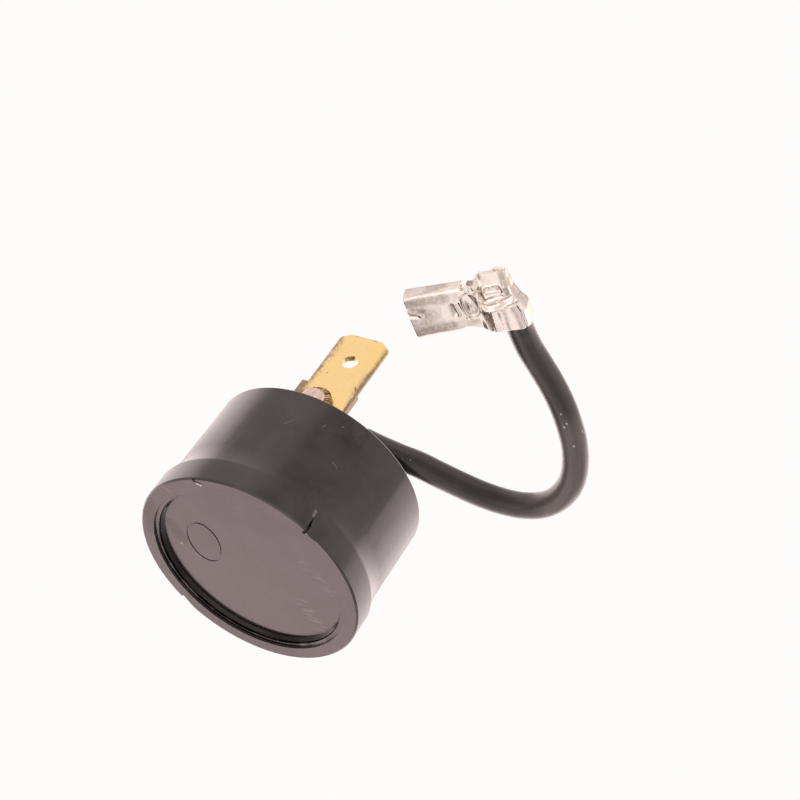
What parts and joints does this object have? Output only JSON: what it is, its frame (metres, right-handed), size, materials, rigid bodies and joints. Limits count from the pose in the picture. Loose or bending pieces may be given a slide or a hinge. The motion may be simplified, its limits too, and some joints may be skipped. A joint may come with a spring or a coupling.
{
  "type": "compressor overload protector",
  "caption": "Round moulded motor overload protector with a flanged rim, a blade terminal and a short black lead that ends in a flag receptacle.",
  "frame": {"origin": "centre of the flanged rim's face, which the part stands on", "axes": "+Z along the case's axis from the rim to the terminals, +X across the width of the blade terminal towards the lead, -Y towards the blade terminal's front face"},
  "size_m": [0.0438, 0.0404, 0.0298],
  "materials": {
    "case_plastic": "smooth moulded thermoset, lightly scuffed",
    "cover_plastic": "smooth moulded thermoset, lightly scuffed",
    "blade_brass": "stamped brass with brown tarnish along its edges",
    "rivet_metal": "dull pinkish rivet metal",
    "bracket_brass": "stamped brass",
    "insert_brass": "turned brass",
    "lug_brass": "stamped brass",
    "contact_copper": "copper rivet",
    "contact_silver": "silver alloy",
    "bimetal": "rolled thermostat metal",
    "heater_alloy": "drawn resistance wire",
    "strap_steel": "plated strip",
    "screw_steel": "zinc-plated steel",
    "spring_steel": "drawn spring wire",
    "seal_varnish": "drop of hardened varnish",
    "insulation": "smooth flexible insulation with a few specks of dust",
    "strand_copper": "bare copper strands",
    "flag_tin": "tin-plated brass sheet, lightly creased"
  },
  "bodies": {
    "case": {"housing": "case_plastic", "cover_disc": "cover_plastic", "fixed_contact_a": "contact_copper", "fixed_contact_b": "contact_copper", "contact_strap": "strap_steel", "heater_wire": "heater_alloy", "lead_strap": "strap_steel", "adjusting_screw": "screw_steel", "screw_insert": "insert_brass", "disc_spring": "spring_steel", "screw_seal": "seal_varnish", "tab_bracket": "bracket_brass", "spade_tab": "blade_brass", "tab_rivet": "rivet_metal", "lead_terminal": "lug_brass", "lead_rivet": "contact_copper", "terminal_strands": "strand_copper", "lead": "insulation", "crimp_strands": "strand_copper", "flag_receptacle": "flag_tin"},
    "snap_disc": {"bimetal_disc": "bimetal", "moving_contact_a": "contact_silver", "moving_contact_b": "contact_silver"}
  },
  "joints": [
    {"name": "disc_snap", "type": "slide", "parent": "case", "child": "snap_disc", "axis": [0, 0, -1], "range_m": [0, 0.0006], "stiffness_N_per_m": 200, "springref_m": -0.0005, "deforming": ["disc_spring"]}
  ]
}
